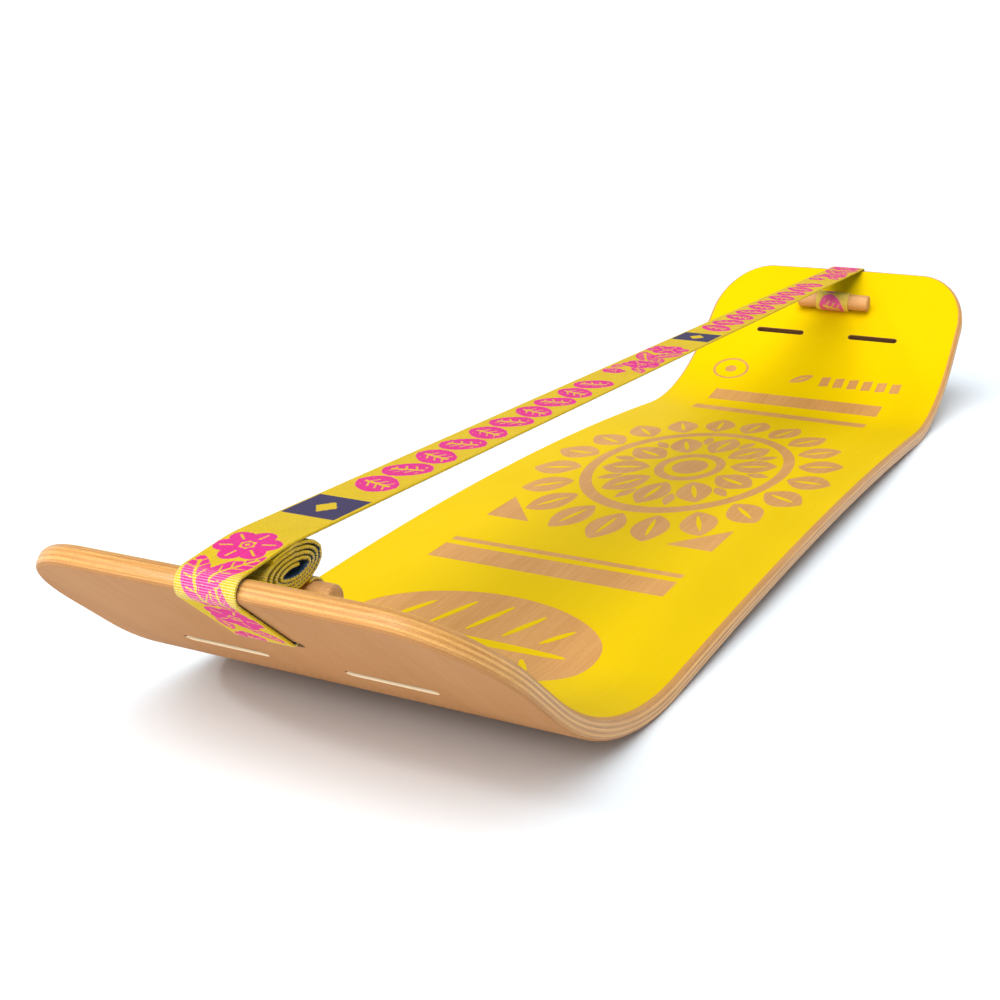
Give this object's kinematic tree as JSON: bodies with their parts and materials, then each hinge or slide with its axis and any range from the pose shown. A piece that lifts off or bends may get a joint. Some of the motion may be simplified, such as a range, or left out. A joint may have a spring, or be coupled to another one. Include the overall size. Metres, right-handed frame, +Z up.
{
  "type": "slackline balance board",
  "caption": "Bent plywood balance deck with raised noses and flat webbing strung tight from nose to nose, anchored by wooden dowels in slots.",
  "frame": {"origin": "on the floor, under the middle of the board", "axes": "+X along the board towards the end without the rolled-up webbing, +Z up, +Y across the board"},
  "size_m": [1.6711, 0.407, 0.1978],
  "materials": {
    "face_wood": "satin lacquer",
    "cross_wood": "satin lacquer",
    "printed_wood": "satin screen-printed ink over bare wood",
    "dowel_wood": "smooth, unfinished",
    "webbing": "woven polyester, printed"
  },
  "bodies": {
    "root": {"bottom_veneer": "face_wood", "ply_2": "cross_wood", "ply_3": "face_wood", "ply_4": "cross_wood", "ply_5": "face_wood", "ply_6": "cross_wood", "ply_7": "face_wood", "ply_8": "cross_wood", "top_veneer": "printed_wood", "webbing_near_wrap": "webbing", "webbing_far_loop": "webbing", "webbing_spare_roll": "webbing"},
    "line_near": {"webbing_span_near": "webbing"},
    "line_far": {"webbing_span_far": "webbing"},
    "near_dowel": {"near_dowel": "dowel_wood"},
    "far_dowel": {"far_dowel": "dowel_wood"}
  },
  "joints": [
    {"name": "line_sag", "type": "hinge", "parent": "root", "child": "line_near", "pos_m": [-0.747, 0, 0.1965], "axis": [0, 1, 0], "range_deg": [0, 4], "stiffness_Nm_per_rad": 400},
    {"name": "line_bend", "type": "hinge", "parent": "line_near", "child": "line_far", "pos_m": [0.03518, 0, 0.19319], "axis": [0, 1, 0], "range_deg": [-8, 0]},
    {"name": "near_dowel_slide", "type": "slide", "parent": "root", "child": "near_dowel", "axis": [0, -1, 0], "range_m": [0, 0.085]},
    {"name": "far_dowel_slide", "type": "slide", "parent": "root", "child": "far_dowel", "axis": [0, -1, 0], "range_m": [0, 0.085]}
  ],
  "couplings": [
    {"joint": "line_bend", "follows": "line_sag", "ratio": -2}
  ]
}
